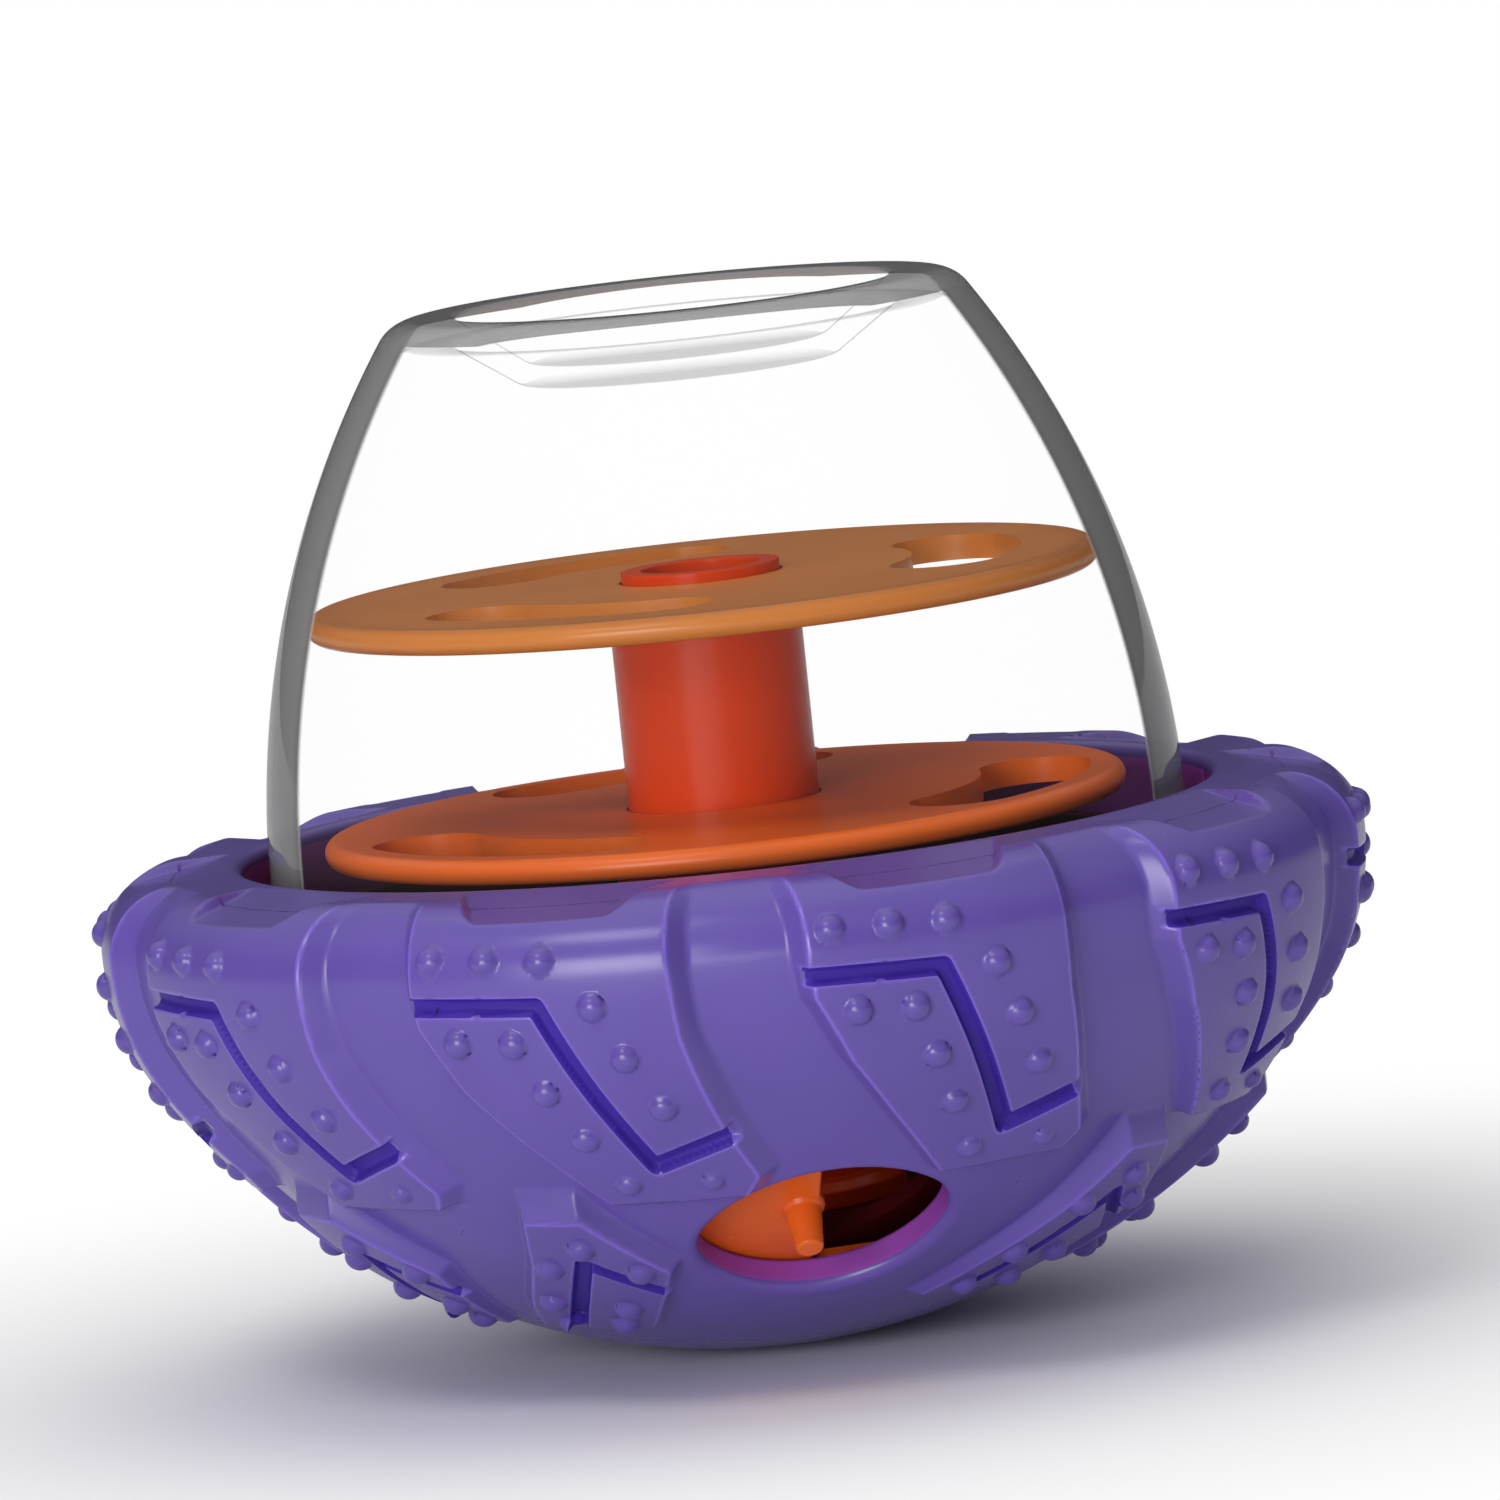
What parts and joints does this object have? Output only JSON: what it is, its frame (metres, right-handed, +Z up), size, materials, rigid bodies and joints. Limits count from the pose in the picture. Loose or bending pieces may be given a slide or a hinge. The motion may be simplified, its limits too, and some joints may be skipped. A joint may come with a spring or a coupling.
{
  "type": "puzzle feeder",
  "caption": "Tumbling pet puzzle feeder: weighted round bowl with raised leaning tread blocks, oval outlets with a turning gate, slotted inner trays and a clear lift-off dome.",
  "frame": {"origin": "centre of the flat foot under the bowl, on the floor", "axes": "+Z up along the axis of the bowl, post and dome; -Y towards the front outlet's side; +X to the right seen from the front"},
  "size_m": [0.152, 0.1502, 0.1244],
  "materials": {
    "tread_rubber": "purple moulded thermoplastic rubber, satin gloss",
    "hopper_plastic": "dark red-orange moulded plastic, glossy",
    "gate_plastic": "orange moulded plastic, glossy",
    "post_plastic": "red-orange moulded plastic, glossy",
    "lower_tray_plastic": "orange moulded plastic, glossy",
    "upper_tray_plastic": "orange moulded plastic, glossy",
    "cover_plastic": "dark grey moulded plastic, matte",
    "weight_steel": "bare pressed steel",
    "screw_steel": "zinc-plated steel",
    "seal_rubber": "pale translucent silicone",
    "dome_clear": "clear moulded plastic, polished"
  },
  "bodies": {
    "root": {"tread_shell": "tread_rubber", "hopper_bowl": "hopper_plastic", "weight_disc": "weight_steel", "weight_cover": "cover_plastic", "weight_screw_1": "screw_steel", "weight_screw_2": "screw_steel", "weight_screw_3": "screw_steel", "centre_post": "post_plastic", "post_screw": "screw_steel", "lower_tray": "lower_tray_plastic", "upper_tray": "upper_tray_plastic"},
    "gate": {"gate_ring": "gate_plastic"},
    "seal": {"dome_seal": "seal_rubber"},
    "dome": {"dome": "dome_clear"}
  },
  "joints": [
    {"name": "gate_turn", "type": "hinge", "parent": "root", "child": "gate", "pos_m": [0, 0, 0], "axis": [0, 0, 1], "range_deg": [-12, 14]},
    {"name": "dome_twist", "type": "hinge", "parent": "root", "child": "seal", "pos_m": [0, 0, 0.048], "axis": [0, 0, 1], "range_deg": [0, 90]},
    {"name": "dome_lift", "type": "slide", "parent": "seal", "child": "dome", "axis": [0, 0, 1], "range_m": [0, 0.06]}
  ]
}
